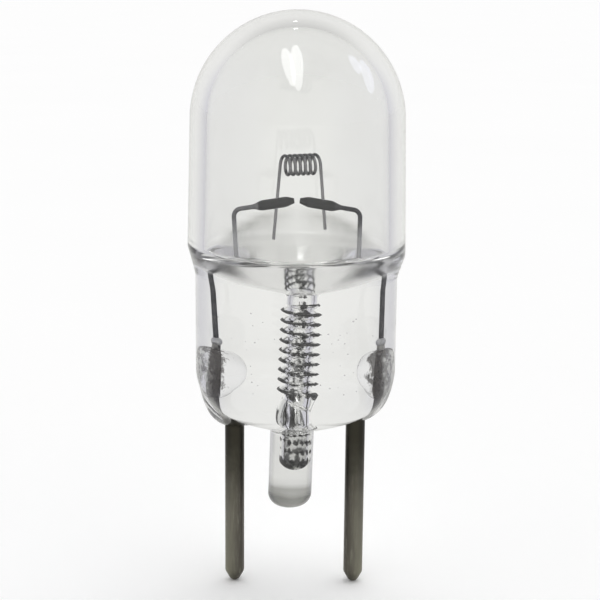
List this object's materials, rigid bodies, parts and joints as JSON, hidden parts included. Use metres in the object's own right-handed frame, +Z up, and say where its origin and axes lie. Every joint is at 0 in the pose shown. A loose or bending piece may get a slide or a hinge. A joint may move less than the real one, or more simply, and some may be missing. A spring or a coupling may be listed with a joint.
{
  "type": "flashlight bulb",
  "caption": "Clear glass two-pin flashlight bulb: domed envelope on a solid glass foot, coiled filament on clamped lead wires, ribbed exhaust tube and round contact pins.",
  "frame": {"origin": "midway between the two contact pins, in the seat plane where the foot's underside meets the pins", "axes": "+Z up along the bulb towards the dome, +X from the left pin to the right pin, +Y away from the viewer"},
  "size_m": [0.0056, 0.0056, 0.0151],
  "materials": {
    "clear_glass": "gloss",
    "tube_glass": "gloss",
    "filament_wire": "satin",
    "lead_metal": "satin",
    "pin_metal": "satin"
  },
  "bodies": {
    "root": {"glass_envelope": "clear_glass", "exhaust_tube": "tube_glass", "filament": "filament_wire", "lead_wire_left": "lead_metal", "lead_wire_right": "lead_metal", "contact_pin_left": "pin_metal", "contact_pin_right": "pin_metal"}
  },
  "joints": []
}
